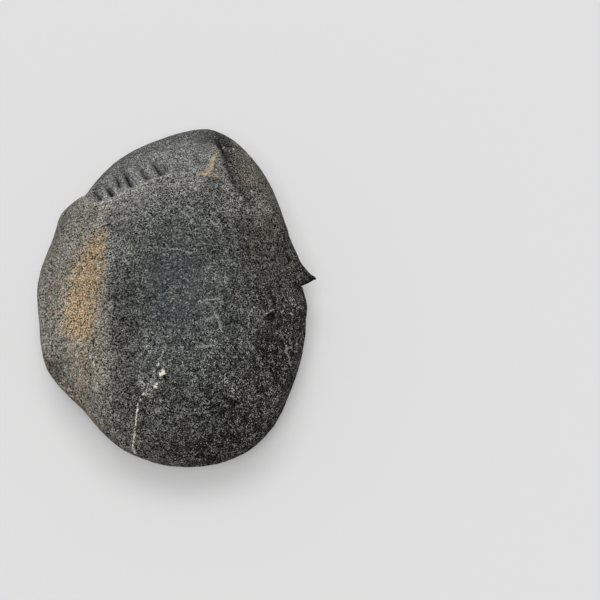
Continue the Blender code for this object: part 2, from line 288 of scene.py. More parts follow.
# %% Set how fine the mesh is
BALL_SUBDIVISIONS = 6
BACK_FINENESS, FACE_FINENESS, DETAIL_FINENESS = 1.60, 0.72, 0.36
DETAIL_REACH = 2.0
SIDE_WHERE_FACE_STARTS = (-0.25, 0.10)
SIDE_WHERE_DETAIL_ENDS = -0.4
FINE_PASSES, SMOOTH_PASSES = 3, 2
RIB_GROOVES = (  # head across and up, foot across and up, depth and half width at the foot
    (-24.8, 33.0, -23.4, 31.0, 0.9, 0.60),
    (-22.1, 35.5, -19.2, 31.8, 1.4, 0.70),
    (-18.9, 38.4, -17.2, 34.8, 0.9, 0.60),
    (-16.8, 41.0, -13.8, 34.8, 1.5, 0.55),
    (-12.2, 41.9, -8.8, 37.6, 1.4, 0.90),
    (-8.1, 43.5, -4.1, 38.4, 1.5, 0.85),
    (-4.4, 43.0, -3.0, 39.9, 0.8, 0.55),
    (0.1, 42.6, 1.2, 40.4, 0.6, 0.50),
    (5.4, 45.4, 7.3, 42.3, 0.7, 0.55),
)
RIB_FEET = tuple(groove[2:4] for groove in RIB_GROOVES)
DETAILS = (  # a course, and how much wider or narrower its fine strip is
    (CRUST_EDGE, 1.0), (RIB_FEET, 2.0), (CREASE, 1.0),
    (CHIP_EDGE, 0.8), (CHIP_FOOT, 0.6), (SPUR_BREAK, 0.8),
)

print("grooves:", len(RIB_GROOVES))

# %% Cut the ball finer where it needs it
def directions_of(ball):
    return np.array([tuple(vertex.co) for vertex in ball.verts])


def wanted_edge(sheet, side):
    """The longest edge allowed at each place, in millimetres."""
    face_share = rise(*SIDE_WHERE_FACE_STARTS, side)
    wanted = BACK_FINENESS + (FACE_FINENESS - BACK_FINENESS) * face_share
    for course, reach_share in DETAILS:
        near = np.abs(along(course, sheet)[0]) < DETAIL_REACH * reach_share
        wanted = np.where(near & (side > SIDE_WHERE_DETAIL_ENDS), DETAIL_FINENESS, wanted)
    return wanted


ball = bmesh.new()
bmesh.ops.create_icosphere(ball, subdivisions=BALL_SUBDIVISIONS, radius=1.0)
for _ in range(FINE_PASSES):
    ball.verts.index_update()
    directions = directions_of(ball)
    sheet, height = body(directions)
    places = cast(sheet, height)
    edges = list(ball.edges)
    ends = np.array([(edge.verts[0].index, edge.verts[1].index) for edge in edges])
    lengths = np.linalg.norm(places[ends[:, 0]] - places[ends[:, 1]], axis=1)
    wanted = wanted_edge(sheet[ends].mean(axis=1), directions[ends][:, :, 2].mean(axis=1))
    long_edges = [edges[i] for i in np.flatnonzero(lengths > wanted)]
    bmesh.ops.subdivide_edges(ball, edges=long_edges, cuts=1)
    bmesh.ops.triangulate(ball, faces=ball.faces)
    for vertex in ball.verts:
        vertex.co.normalize()
for _ in range(SMOOTH_PASSES):
    bmesh.ops.smooth_vert(
        ball, verts=ball.verts, factor=0.5, use_axis_x=True, use_axis_y=True, use_axis_z=True
    )
    for vertex in ball.verts:
        vertex.co.normalize()
print("ball triangles:", len(ball.faces))

# %% [markdown]
# ## River wear
# A river leaves broad shallow hollows, smaller ones between them, and a fine pitting all over. Random
# unevenness at four sizes gives all of these. It is worked out for every vertex as a lift in
# millimetres, and nothing is moved until all the lifts are known.

# %% Spread the unevenness
ball.verts.index_update()
directions = directions_of(ball)
side = directions[:, 2]
sheet, height = body(directions)
places = cast(sheet, height)
NOISE_OFFSET = Vector((3.1, 7.7, 1.9))


def river_noise(spacing):
    """Soft random unevenness from about -1 to 1, with hills this far apart, the same on every run."""
    return np.array([noise.noise(Vector(point) / spacing + NOISE_OFFSET) for point in places])


broad_hollows = river_noise(15.0)
small_hollows = river_noise(5.5)
ragged = river_noise(1.6)
fine_pits = river_noise(0.9)
print("vertices to move:", len(places))

# %% [markdown]
# ## The fossil window
# The window is where a flake of crust came away: a step down along a slightly ragged edge, with a
# raised lip. In its dished floor lies a row of grooves that widen towards their feet, and between them
# the ribs stand up a little. The same helper gives the dark in each groove, part silt and part painted
# shade, and a softer painted shade beside it, which the colours need later.

# %% Carve the ribs
EDGE_RAGGEDNESS, EDGE_SOFTNESS = 0.22, 0.40
# The dark of each groove is silt and painted shade together; the numbers say how dark each is painted.
GROOVE_SILT_AND_SHADE = (0.75, 1.0, 0.8, 1.0, 0.62, 0.9, 0.5, 0.35, 0.45)  # how full of silt each groove is
HEAD_WIDTH_SHARE = 0.65
RIB_HEIGHTS, RIB_HALF_WIDTHS = (0.15, 0.50), (0.7, 0.9)
CLEAR_GROOVES = 6
GROOVE_RUN = (-0.9, 0.4, 0.9, 0.6)  # starts at, full from and full to these shares, ends past the foot
SILT_AND_SHADE_RUN = (-0.6, 0.5, 0.85, 0.5)
window_reach = along(CRUST_EDGE, sheet)[0] + EDGE_RAGGEDNESS * ragged
window_open = rise(-EDGE_SOFTNESS, EDGE_SOFTNESS, window_reach)


def groove_run(step, length, run):
    """1 along a groove, and softly down to 0 before its head and past its foot."""
    starts, full_from, full_to, past_foot = run
    after_head = rise(starts, full_from * length, step)
    return after_head * (1.0 - rise(full_to * length, length + past_foot, step))


def rib_relief():
    """Groove depths, their silt and painted shade, a softer painted shade beside them, and rib heights.
    """
    deepest = np.zeros(len(sheet))
    darkest_silt_and_shade = np.zeros(len(sheet))
    shaded = np.zeros(len(sheet))
    for groove, silt_and_shade in zip(RIB_GROOVES, GROOVE_SILT_AND_SHADE):
        head_across, head_up, foot_across, foot_up, depth, half_width = groove
        head = np.array((head_across, head_up))
        run = np.array((foot_across, foot_up)) - head
        length = np.linalg.norm(run)
        run = run / length
        offset = sheet - head
        step = offset @ run
        widening = (1.0 - HEAD_WIDTH_SHARE) * np.clip(step / length, 0.0, 1.0)
        width = half_width * (HEAD_WIDTH_SHARE + widening)
        across_run = run[0] * offset[:, 1] - run[1] * offset[:, 0]
        ends = groove_run(step, length, GROOVE_RUN)
        deepest = np.maximum(deepest, depth * ends * bell(across_run, width))
        # The dark in each groove is partly silt and partly painted shade, and a wider painted shade lies
        # beside it.
        silt_and_shade_ends = groove_run(step, length, SILT_AND_SHADE_RUN)
        darkest_silt_and_shade = np.maximum(darkest_silt_and_shade, silt_and_shade * silt_and_shade_ends * bell(across_run + 0.20, width * 0.72))
        shaded = np.maximum(shaded, silt_and_shade * ends * bell(across_run + 0.3, 1.0))
    crests = np.zeros(len(sheet))
    for before, after in zip(RIB_GROOVES[:CLEAR_GROOVES], RIB_GROOVES[1:CLEAR_GROOVES]):
        crest = [((before[i] + after[i]) / 2, (before[i + 1] + after[i + 1]) / 2) for i in (0, 2)]
        crests = np.maximum(crests, cut(crest, RIB_HEIGHTS, RIB_HALF_WIDTHS, sheet))
    return deepest, darkest_silt_and_shade, shaded, crests


groove_depth, groove_silt_and_shade, groove_shade, rib_crests = rib_relief()
print("deepest groove, mm:", round(float(groove_depth.max()), 2))

# %% [markdown]
# ## Lip, crease, chip and crack
# To the right of the window the crust laps over it along a crease. A chip, a crack and the break under
# the spur are smaller cuts of the same kind. All the lifts are added up here. Those of the face fade
# out towards the girth, so that they never dent the outline.

# %% Add up the relief
LIP_HEIGHT, LIP_SETBACK, LIP_HALF_WIDTH, LIP_END_REACH = 0.5, 1.0, 1.0, 3.0
FLOOR_DEPTH, DISH_DEPTHS, DISH_HALF_WIDTHS = 0.8, (0.3, 0.9), (1.8, 3.4)
LAP_HEIGHT, LAP_FALL, LAP_HALF_WIDTH = 1.2, 1.0, 2.2
CREASE_DEPTHS, CREASE_HALF_WIDTHS = (1.1, 0.2), (0.40, 1.6)
CHIP_DEPTH, CHIP_REACH, CHIP_EDGE_SOFTNESS, CHIP_END_SHARE = 0.8, 2.6, 0.3, 0.2
CHIP_RIDGE, CHIP_RIDGE_SETBACK, CHIP_RIDGE_HALF_WIDTH = 0.35, 0.6, 0.5
CRACK_DEPTHS, CRACK_HALF_WIDTHS = (0.8, 0.45), (0.40, 0.35)
BREAK_DEPTHS, BREAK_HALF_WIDTHS = (0.3, 0.8), (0.35, 0.45)
BROAD_WEAR, SMALL_WEAR = 0.60, 0.22
FINE_PIT, RAGGED_PIT, WINDOW_SMOOTHNESS = 0.06, 0.09, 0.6
GIRTH_MARGIN = 2.2
BREAK_SIDE, WEAR_SIDE = (-0.45, 0.0), (0.0, 0.3)
crease_gap, crease_share = along(CREASE, sheet)
lip = LIP_HEIGHT * bell(window_reach + LIP_SETBACK, LIP_HALF_WIDTH)
lip *= 1.0 - bell(crease_gap, LIP_END_REACH)
floor_cut = FLOOR_DEPTH + cut(DISH, DISH_DEPTHS, DISH_HALF_WIDTHS, sheet) + groove_depth - rib_crests
lap = (LAP_HEIGHT - LAP_FALL * crease_share) * bell(crease_gap - LAP_HALF_WIDTH, LAP_HALF_WIDTH)
lap = lap - cut(CREASE, CREASE_DEPTHS, CREASE_HALF_WIDTHS, sheet)
chip_gap, chip_share = along(CHIP_EDGE, sheet)
chip_ends = rise(0.0, CHIP_END_SHARE, chip_share) * rise(0.0, CHIP_END_SHARE, 1.0 - chip_share)
chip_hollow = rise(-CHIP_EDGE_SOFTNESS, CHIP_EDGE_SOFTNESS, -chip_gap)
chip_hollow *= 1.0 - rise(0.0, CHIP_REACH, -chip_gap)
chip_ridge = CHIP_RIDGE * bell(chip_gap - CHIP_RIDGE_SETBACK, CHIP_RIDGE_HALF_WIDTH)
chip = (chip_ridge - CHIP_DEPTH * chip_hollow) * chip_ends
crack = cut(CHIP_FOOT, CRACK_DEPTHS, CRACK_HALF_WIDTHS, sheet)
spur_break = cut(SPUR_BREAK, BREAK_DEPTHS, BREAK_HALF_WIDTHS, sheet) * rise(*BREAK_SIDE, side)
girth_gap = girth_radius(np.arctan2(sheet[:, 1], sheet[:, 0])) - np.linalg.norm(sheet, axis=1)
on_face = (side > 0.0) * rise(0.0, GIRTH_MARGIN, girth_gap)
river_wear = BROAD_WEAR * broad_hollows + SMALL_WEAR * small_hollows
pits = (FINE_PIT * fine_pits + RAGGED_PIT * ragged) * (1.0 - WINDOW_SMOOTHNESS * window_open * on_face)
relief = river_wear * rise(*WEAR_SIDE, np.abs(side)) - spur_break + pits
relief += on_face * (lip - floor_cut * window_open + lap + chip - crack)
print("relief, mm: from", round(float(relief.min()), 2), "to", round(float(relief.max()), 2))

# %% [markdown]
# ## Masks for the colours
# The silt lies in the grooves and the rust on the left flank, so the colours need to know where these
# are. Each vertex gets a few numbers from the same courses that carved it, and the material reads them
# back as attributes. A distance in millimetres is the best thing to keep, because the material can cut
# a crisp edge through it even where the mesh is coarse. On the back all of them fade to plain crust.

# %% Write two helpers for the masks
facing = rise(-0.35, -0.05, side)


def fading(value, hidden):
    """A mask that takes its hidden value on the back of the stone."""
    return hidden + (value - hidden) * facing


def patch(across, up, half_width, half_height):
    """A soft oval patch, 1 in its middle."""
    return bell(np.hypot((sheet[:, 0] - across) / half_width, (sheet[:, 1] - up) / half_height), 1.0)


print("vertices that face the light:", int((facing > 0.5).sum()))

# %% [markdown]
# ## Rust, flank, rim and heart
# Iron in the shale has rusted on the left flank, in a long leaf with one sharp side. The flank around
# it and a rim along the window are worn pale, and the heart of the face is smooth and blue grey. Each
# of them is a strip along a course, or a soft oval.

# %% Place the worn zones
RUST = (
    (-21.5, 20.5), (-24.3, 15.6), (-26.2, 10.5), (-28.2, 0.6), (-29.2, -6.6), (-28.8, -12.0),
    (-28.2, -18.0), (-27.6, -27.0),
)
RUST_EDGE = ((-20.4, 30.0), (-20.1, 15.6), (-20.4, 5.4), (-22.5, -4.5), (-24.0, -12.6), (-24.9, -28.8))
RUST_SPOTS = (  # across, up, radius, strength
    (-21.0, 27.0, 1.9, 0.35), (-22.5, 24.5, 1.5, 0.20), (21.5, 38.0, 3.0, 0.18), (24.0, 32.0, 3.0, 0.12),
)
RUST_WIDTHS = ((0.0, 0.12, 0.25, 0.45, 0.62, 0.75, 1.0), (2.4, 4.0, 5.4, 6.6, 6.0, 4.0, 3.2))
RUST_STRENGTHS = ((0.0, 0.12, 0.62, 0.72, 1.0), (0.60, 0.90, 1.0, 0.45, 0.30))
RIM_REACHES = ((0.0, 0.25, 0.45, 0.60, 0.75), (13.0, 11.0, 8.5, 6.0, 4.0))
FLANK_PLACES = (-40.0, -22.0, 0.0, 10.0)
FLANK_PALENESS = (0.30, 0.60, 0.95, 1.0)
FLANK_BLENDS = (6.0, 3.0, 1.0, 1.0)
WARM_PATCHES = (  # across, up, half width, half height, strength
    (-22.5, 27.0, 3.5, 2.2, 0.7), (21.0, 38.0, 5.0, 6.0, 0.7), (27.0, 20.0, 6.0, 18.0, 0.45),
    (-25.0, -20.0, 6.0, 12.0, 0.6),
)
HEART_PATCHES = ((-1.8, 9.0, 9.5, 16.0, 0.35), (2.0, 0.0, 19.0, 30.0, 0.75))
DAYLIGHT_UP, DAYLIGHT_ACROSS, DAYLIGHT_SPAN = 0.60, 0.90, 75.0
ROLLED_RIM = (2.6, 1.6)  # from the girth, where it starts and where it is full
crust_share = along(CRUST_EDGE, sheet)[1]
rim_reach = -window_reach / np.interp(crust_share, *RIM_REACHES)
rust_gap, rust_share = along(RUST, sheet)
rust = np.interp(rust_share, *RUST_STRENGTHS) * bell(rust_gap, np.interp(rust_share, *RUST_WIDTHS))
rust *= rise(1.0, -1.4, along(RUST_EDGE, sheet)[0])
for across, up, radius, strength in RUST_SPOTS:
    rust = np.maximum(rust, strength * bell(np.hypot(sheet[:, 0] - across, sheet[:, 1] - up), radius))
flank_blend = np.interp(sheet[:, 1], FLANK_PLACES, FLANK_BLENDS)
flank = rise(2.0, -2.0, along(RIDGE, sheet)[0] / flank_blend)
flank *= np.interp(sheet[:, 1], FLANK_PLACES, FLANK_PALENESS)
heart = sum(strength * patch(*place) for *place, strength in HEART_PATCHES)
warm = np.max([strength * patch(*place) for *place, strength in WARM_PATCHES], axis=0)
# Paler towards the upper left and darker towards the lower right: partly the crust's own colour, partly
# painted light and shade.
towards_light = DAYLIGHT_UP * sheet[:, 1] - DAYLIGHT_ACROSS * sheet[:, 0]
daylight = np.clip(0.5 + towards_light / DAYLIGHT_SPAN, 0.0, 1.0)
# A darker band inside the window along its rolled outer edge: painted shade where the edge turns away.
rolled_rim_shade = rise(*ROLLED_RIM, girth_gap) * window_open
print("vertices in the rust:", int((rust > 0.5).sum()))

# %% [markdown]
# ## Veins and scratches
# Calcite has filled a hairline crack low on the face. It frays into dots at its upper end. A tan vein
# runs up beside the window, and a few pale scratches lie in the middle. Two pale lines along the chip's
# crest and one along the crust's lip are painted highlight. A vein is kept as the distance from its
# edge: the distance from its course less half its width.

# %% Draw the veins
TAN_VEIN = (
    (12.6, 44.8), (11.9, 43.9), (11.0, 43.0), (11.0, 41.6), (10.4, 40.8), (10.5, 39.6), (9.4, 38.8),
    (8.9, 37.9), (8.0, 38.1), (7.1, 37.9),
)
TAN_HALF_WIDTHS = ((0.0, 0.3, 0.42, 0.55, 0.8, 1.0), (0.02, 0.10, 0.40, 0.20, 0.42, 0.10))
TAN_BRANCH, TAN_BRANCH_HALF_WIDTH = ((9.2, 38.2), (10.1, 37.3), (11.0, 37.4), (11.9, 36.8)), 0.12
WHITE_VEIN = (
    (-10.7, -29.6), (-11.3, -31.1), (-11.7, -33.8), (-12.0, -36.4), (-12.5, -39.8), (-12.8, -41.6),
    (-13.2, -43.5), (-13.0, -45.0), (-12.2, -46.1),
)
WHITE_HALF_WIDTH = 0.13
VEIN_TRAIL = ((-5.2, -19.4), (-6.8, -21.4), (-7.5, -23.6), (-8.4, -25.5), (-9.5, -28.3))
TRAIL_HALF_WIDTH = -0.04
CALCITE_SPOTS = (  # across, up, radius
    (-4.7, -22.3, 0.50), (-3.9, -21.9, 0.55), (-4.0, -21.2, 0.40), (-6.0, -25.2, 0.45),
    (-9.7, -28.2, 0.42), (-5.6, -19.4, 0.35), (14.2, 45.6, 0.06), (15.6, 44.2, 0.08),
    (17.0, 44.6, 0.10), (22.6, 32.4, 0.20), (-5.2, -21.7, 0.25), (-6.2, -25.9, 0.40),
)
PALE_LINES = (
    ((-2.1, 15.2), (1.0, 15.2), (4.5, 14.1)),
    ((6.0, -0.9), (9.0, 0.0), (13.5, 0.3)),
    ((9.3, -6.0), (12.3, -4.5)),
    (
        (33.0, -13.5), (33.3, -14.6), (33.0, -15.3), (33.7, -16.5), (34.4, -17.7), (34.2, -18.5),
        (34.7, -19.5),
    ),
    # These two lines along the chip's crest are painted highlight.
    ((23.8, -7.3), (24.9, -6.4), (26.2, -5.2)),
    ((26.6, -5.0), (27.3, -3.9), (28.8, -3.0)),
    ((-40.5, -11.4), (-37.0, -11.2), (-34.5, -11.4)),
    ((-3.6, -14.6), (-4.5, -17.2), (-5.2, -19.4)),
    ((11.4, -3.6), (12.6, -6.3), (13.5, -9.3)),
    ((6.3, -13.8), (9.0, -14.1), (11.7, -13.5)),
    ((1.0, 27.0), (3.3, 25.8), (4.8, 23.4)),
    ((3.0, 28.2), (5.4, 27.3)),
    ((9.9, 24.6), (11.4, 22.8), (12.6, 21.9)),
)
PALE_LINE_HALF_WIDTH = 0.30
vein_gap, vein_share = along(TAN_VEIN, sheet)
tan_gap = np.abs(vein_gap) - np.interp(vein_share, *TAN_HALF_WIDTHS)
tan_gap = np.minimum(tan_gap, np.abs(along(TAN_BRANCH, sheet)[0]) - TAN_BRANCH_HALF_WIDTH)
white_gap = np.abs(along(WHITE_VEIN, sheet)[0]) - WHITE_HALF_WIDTH
white_gap = np.minimum(white_gap, np.abs(along(VEIN_TRAIL, sheet)[0]) - TRAIL_HALF_WIDTH)
for across, up, radius in CALCITE_SPOTS:
    white_gap = np.minimum(white_gap, np.hypot(sheet[:, 0] - across, sheet[:, 1] - up) - radius)
scratches_and_highlights = [bell(along(line, sheet)[0] + 0.25 * ragged, PALE_LINE_HALF_WIDTH) for line in PALE_LINES]
pale_line = np.max(scratches_and_highlights, axis=0)
# A painted highlight along the crust's broken lip.
lip_highlight = 0.9 * bell(window_reach + 0.50, 0.45) * rise(0.75, 0.55, crust_share)
pale_line = np.maximum(pale_line, lip_highlight)
print("scratches:", len(PALE_LINES), "calcite dots:", len(CALCITE_SPOTS))

# %% [markdown]
# ## Dark seams
# The crease, the step into the chip's hollow and the edge under the spur are darkened as painted
# shade, and the crack is darker along its line. Each dark seam follows the cut that holds it.

# %% Darken the seams
SPUR_SIDE = (-0.16, 0.0)
# Painted shade in the crease and under the crust that laps over it.
crease_shade = np.maximum(
    bell(crease_gap, 0.70) * (1.0 - 0.35 * crease_share),
    0.60 * bell(crease_gap - 1.1, 1.6) * (1.0 - 0.45 * crease_share),
)
crease_shade *= rise(49.5, 46.8, sheet[:, 1])
chip_end = rise(0.35, 0.65, chip_share)
# Painted shade in the chip's hollow, just below its crest.
chip_shade = chip_ends * chip_end * rise(-0.1, 0.4, -chip_gap) * (1.0 - rise(0.4, 1.5, -chip_gap))
crack_gap, crack_share = along(CHIP_FOOT, sheet)
crack_dark = bell(crack_gap, 0.45) * (0.85 - 0.45 * rise(0.3, 0.5, crack_share))
# Painted shade under the spur's overhanging edge.
spur_underside_shade = np.maximum(bell(along(SPUR_BREAK, sheet)[0], 0.80), patch(41.4, 5.8, 1.6, 1.1))
spur_underside_shade *= rise(*SPUR_SIDE, side)
dark_seam = np.maximum.reduce([crease_shade, chip_shade, crack_dark, spur_underside_shade])
print("darkest seam:", round(float(dark_seam.max()), 2))

# %% [markdown]
# ## Paler and darker patches, painted shade and highlights
# No part of the crust is evenly dark. Soft ovals make some patches paler and others darker, each as a
# power of ten, so that -0.1 is a fifth darker. The broad dark ovals over the right side and along the
# bottom edge are partly the crust's own colour and partly painted shade, and the dark oval under the
# spur is painted shade. Their places and strengths were chosen by comparing renders with the
# photograph. The ribs, the lip, the chip and the crease get their own terms, from the same numbers that
# carved them: painted highlight on the rib crests, the lip and the chip's crest, and painted shade
# beside the grooves, in the chip's hollow and around the crease.

# %% Lay the tones
TONE_PATCHES = (  # across, up, half width, half height, how much paler or darker
    (30.0, -14.0, 12.0, 26.0, -0.18), (7.5, -42.0, 20.0, 10.0, -0.22), (40.6, 5.0, 2.6, 1.8, -0.36),
    (9.0, 30.0, 8.0, 4.5, -0.06), (9.0, -5.0, 7.0, 8.0, 0.08), (15.0, -24.0, 5.0, 4.0, 0.12),
    (-17.2, -19.5, 1.5, 8.0, -0.18), (-14.5, -33.0, 6.0, 8.0, -0.18), (19.5, 22.5, 5.0, 8.0, -0.12),
    (-14.5, 2.0, 5.0, 11.0, -0.24), (-15.0, -13.0, 5.0, 6.0, -0.13), (-14.5, 21.0, 4.0, 3.5, -0.12),
    (29.0, 14.0, 8.0, 14.0, -0.12), (24.0, -1.0, 7.0, 4.5, 0.18), (34.0, -2.0, 4.0, 4.0, 0.26),
    (16.5, -8.0, 3.5, 3.0, -0.20), (17.0, -20.0, 3.0, 3.0, -0.20), (10.5, -26.0, 3.5, 3.5, -0.22),
    (-2.0, -26.0, 4.0, 3.5, -0.22), (10.5, -14.0, 4.0, 3.0, 0.16), (28.0, -8.5, 3.0, 3.0, -0.24),
    (-8.0, -14.0, 4.0, 3.0, 0.16), (-13.5, 28.5, 3.0, 3.0, 0.12), (-31.5, -3.0, 5.0, 8.0, 0.10),
    (-36.5, -21.5, 3.5, 4.0, -0.10), (-23.5, -21.0, 6.0, 7.0, 0.13), (-20.0, -36.0, 5.0, 4.0, 0.08),
    (-7.5, -25.5, 3.0, 3.0, 0.24), (21.5, -13.5, 6.0, 6.0, 0.18), (16.5, -25.5, 3.0, 3.0, 0.14),
    (23.5, 29.0, 6.0, 4.0, 0.18), (9.5, 48.8, 4.5, 1.8, -0.22), (4.5, 34.0, 5.0, 3.0, 0.15),
    (28.0, -31.0, 4.0, 5.0, 0.10), (10.0, 34.0, 3.5, 3.0, -0.14), (-18.5, 1.0, 3.0, 6.0, -0.12),
    (11.0, -6.0, 4.0, 5.0, -0.10), (16.0, -1.0, 3.0, 5.0, -0.20), (-14.5, 15.0, 4.0, 4.0, 0.10),
    (33.0, -7.5, 3.5, 4.0, 0.14), (-26.0, -13.0, 10.0, 20.0, 0.05), (-13.5, -7.5, 3.0, 5.0, -0.12),
    (-13.5, -22.5, 3.5, 5.0, -0.12), (-35.0, -19.0, 3.0, 3.0, -0.10), (-14.0, -42.0, 4.0, 3.0, 0.10),
    (28.5, -1.5, 3.0, 3.5, -0.26), (28.5, -13.5, 3.0, 3.0, -0.14), (22.5, 16.5, 4.0, 4.0, -0.10),
    (-25.5, 28.5, 3.0, 2.5, -0.12), (-19.5, 28.5, 3.0, 2.2, 0.12), (16.5, 28.5, 3.0, 3.0, 0.12),
    (17.0, 40.5, 2.0, 3.0, 0.12), (-29.0, 10.0, 5.0, 6.0, 0.06), (11.5, 19.0, 4.0, 6.0, -0.09),
    (17.0, -16.0, 4.0, 6.0, -0.10), (2.0, -29.0, 5.0, 5.0, -0.10), (-7.5, -19.5, 3.5, 3.0, -0.10),
    (10.5, -37.5, 4.0, 4.0, -0.08), (22.5, -29.0, 4.0, 5.0, -0.09), (-38.0, 1.0, 3.0, 6.0, -0.05),
    (-25.5, -19.5, 4.0, 3.0, -0.08), (-7.5, -43.5, 4.0, 3.0, -0.10), (6.0, 6.0, 8.0, 7.0, 0.07),
    (31.5, 16.0, 4.0, 9.0, -0.09),
)
CREST_HIGHLIGHT_TONE, GROOVE_SHADE_TONE = 0.22, -0.18
LIP_TONE = 0.16
CHIP_CREST_HIGHLIGHT, CHIP_HOLLOW_SHADE, CHIP_START_TONE = 0.34, -0.16, 0.20
CREASE_TONE, BESIDE_CREASE_TONE = -0.12, 0.10
tone = sum(strength * patch(*place) for *place, strength in TONE_PATCHES)
# Painted highlight on the rib crests and painted shade beside each groove.
tone += window_open * (CREST_HIGHLIGHT_TONE * rib_crests + GROOVE_SHADE_TONE * groove_shade)
# A broad paler band along the lip, and a narrow painted highlight on the lip itself.
tone += LIP_TONE * bell(window_reach + 1.6, 2.4) * rise(0.80, 0.35, crust_share)
tone += LIP_TONE * bell(window_reach + 0.7, 0.6) * rise(0.75, 0.60, crust_share)
chip_floor = rise(-0.1, 0.5, -chip_gap) * (1.0 - rise(1.0, 2.4, -chip_gap))
# Painted highlight on the chip's crest and painted shade in its hollow; the hollow is paler at its
# start.
tone += chip_ends * CHIP_CREST_HIGHLIGHT * bell(chip_gap - CHIP_RIDGE_SETBACK, 0.7)
tone += chip_ends * chip_end * CHIP_HOLLOW_SHADE * chip_floor
tone += chip_ends * (1.0 - chip_end) * CHIP_START_TONE * bell(chip_gap + 0.8, 0.8)
# Painted shade around the crease, and a paler strip on its window side.
tone += CREASE_TONE * bell(crease_gap - 0.3, 3.0) * (1.0 - crease_share)
tone += BESIDE_CREASE_TONE * bell(crease_gap + 2.6, 1.8) * rise(0.1, 0.4, crease_share)
print("tone patches:", len(TONE_PATCHES))

# %% Collect the masks
masks = {
    "in_window": fading(window_reach, -12.0),
    "rim": fading(rim_reach, 2.0),
    "groove": fading(groove_silt_and_shade * window_open, 0.0),
    "dark_seam": fading(dark_seam, 0.0),
    "rust": fading(rust, 0.0),
    "flank": fading(flank, 0.0),
    "low_facet": fading(-along(LOW_ARRIS, sheet)[0], -6.0),
    "tan_vein": fading(tan_gap, 9.0),
    "white_vein": fading(white_gap, 9.0),
    "pale_line": pale_line * rise(0.0, 0.15, side),
    "heart": fading(heart, 0.0),
    "tone": fading(tone, 0.0),
    "warm": fading(warm, 0.2),
    "bleached_and_lit": fading(daylight, 0.5),
    "rolled_rim_shade": fading(rolled_rim_shade, 0.0),
}
print("masks:", ", ".join(masks))

# %% [markdown]
# ## Carve, lean back, cut the foot
# The vertices go to their places, then out or in along their normals by the relief. The whole stone is
# leaned back and cut level where it rests, and the hole is closed with one flat face. Last it is set
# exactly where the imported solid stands.

# %% Carve the stone
for vertex, place in zip(ball.verts, places):
    vertex.co = place
ball.normal_update()
for vertex, lift in zip(ball.verts, relief):
    vertex.co += vertex.normal * float(lift)
for name, values in masks.items():
    layer = ball.verts.layers.float.new(name)
    for vertex, value in zip(ball.verts, values):
        vertex[layer] = float(value)
print("masks kept on", len(ball.verts), "vertices")

# %% Lean it back and cut its foot
FACE_LEAN = math.radians(25.0)
REST_CUT = 23.8
bmesh.ops.rotate(ball, cent=(0, 0, 0), matrix=Matrix.Rotation(FACE_LEAN, 3, "X"), verts=ball.verts)
bmesh.ops.bisect_plane(
    ball,
    geom=ball.verts[:] + ball.edges[:] + ball.faces[:],
    plane_co=(0.0, 0.0, -REST_CUT),
    plane_no=(0.0, 0.0, -1.0),
    clear_outer=True,
)
open_edges = [edge for edge in ball.edges if edge.is_boundary]
foot = bmesh.ops.holes_fill(ball, edges=open_edges, sides=0)["faces"]
bmesh.ops.reverse_faces(ball, faces=[face for face in foot if face.normal.z > 0.0])
print("edges around the foot:", len(open_edges))

# %% Set it where the solid stands
MILLIMETRE = 0.001
bmesh.ops.scale(ball, vec=(MILLIMETRE,) * 3, verts=ball.verts)
corners = np.array([tuple(vertex.co) for vertex in ball.verts])
lowest, highest = corners.min(axis=0), corners.max(axis=0)
stands_at = Vector(((lowest[0] + highest[0]) / 2, (lowest[1] + highest[1]) / 2, lowest[2]))
low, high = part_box(SOLID)
goes_to = Vector(((low.x + high.x) / 2, (low.y + high.y) / 2, low.z))
bmesh.ops.translate(ball, vec=goes_to - stands_at, verts=ball.verts)

stone_mesh = bpy.data.meshes.new("river_stone")
for face in ball.faces:
    face.smooth = True
for face in foot:
    face.smooth = False
bmesh.ops.triangulate(ball, faces=foot)
ball.to_mesh(stone_mesh)
ball.free()
stone = bpy.data.objects.new("river_stone", stone_mesh)
bpy.context.scene.collection.objects.link(stone)
print("stone faces:", len(stone_mesh.polygons))

# %% [markdown]
# ## The shale
# Shale is a mix of dark clay and pale mineral grains, here a fifth to half a millimetre across. Where
# the river rubs it, they show as salt and pepper. The colour is built up in layers, from the ground
# colour of each zone to the grain over all of it. A few helpers keep the script short: one adds a node
# and joins its inputs, one mixes two colours, and the others read masks, do sums and soft ramps, and
# make random cells.

# %% Start the shale
shale = bpy.data.materials.new("speckled_shale")
shale.use_nodes = True
nodes, links = shale.node_tree.nodes, shale.node_tree.links
shader = nodes["Principled BSDF"]


def put(kind, inputs=None, **options):
    """Adds a node, sets its options, and gives each input a value or joins it to another output."""
    made = nodes.new(kind)
    for name, value in options.items():
        setattr(made, name, value)
    for key, value in (inputs or {}).items():
        if isinstance(value, bpy.types.NodeSocket):
            links.new(value, made.inputs[key])
        else:
            made.inputs[key].default_value = value
    return made


def layer_over(factor, under, over, blend="MIX"):
    """Mixes a colour over another by a factor."""
    mix = put("ShaderNodeMix", {0: factor, 6: under, 7: over}, data_type="RGBA", blend_type=blend)
    return mix.outputs[2]


def mask(name):
    return put("ShaderNodeAttribute", attribute_name=name).outputs["Fac"]


def sums(operation, first, second):
    return put("ShaderNodeMath", {0: first, 1: second}, operation=operation).outputs[0]


def between(value, low, high, to_low=0.0, to_high=1.0):
    """A soft ramp of a value from low to high."""
    ramp = put(
        "ShaderNodeMapRange",
        {"Value": value, "From Min": low, "From Max": high, "To Min": to_low, "To Max": to_high},
        interpolation_type="SMOOTHSTEP",
    )
    return ramp.outputs["Result"]


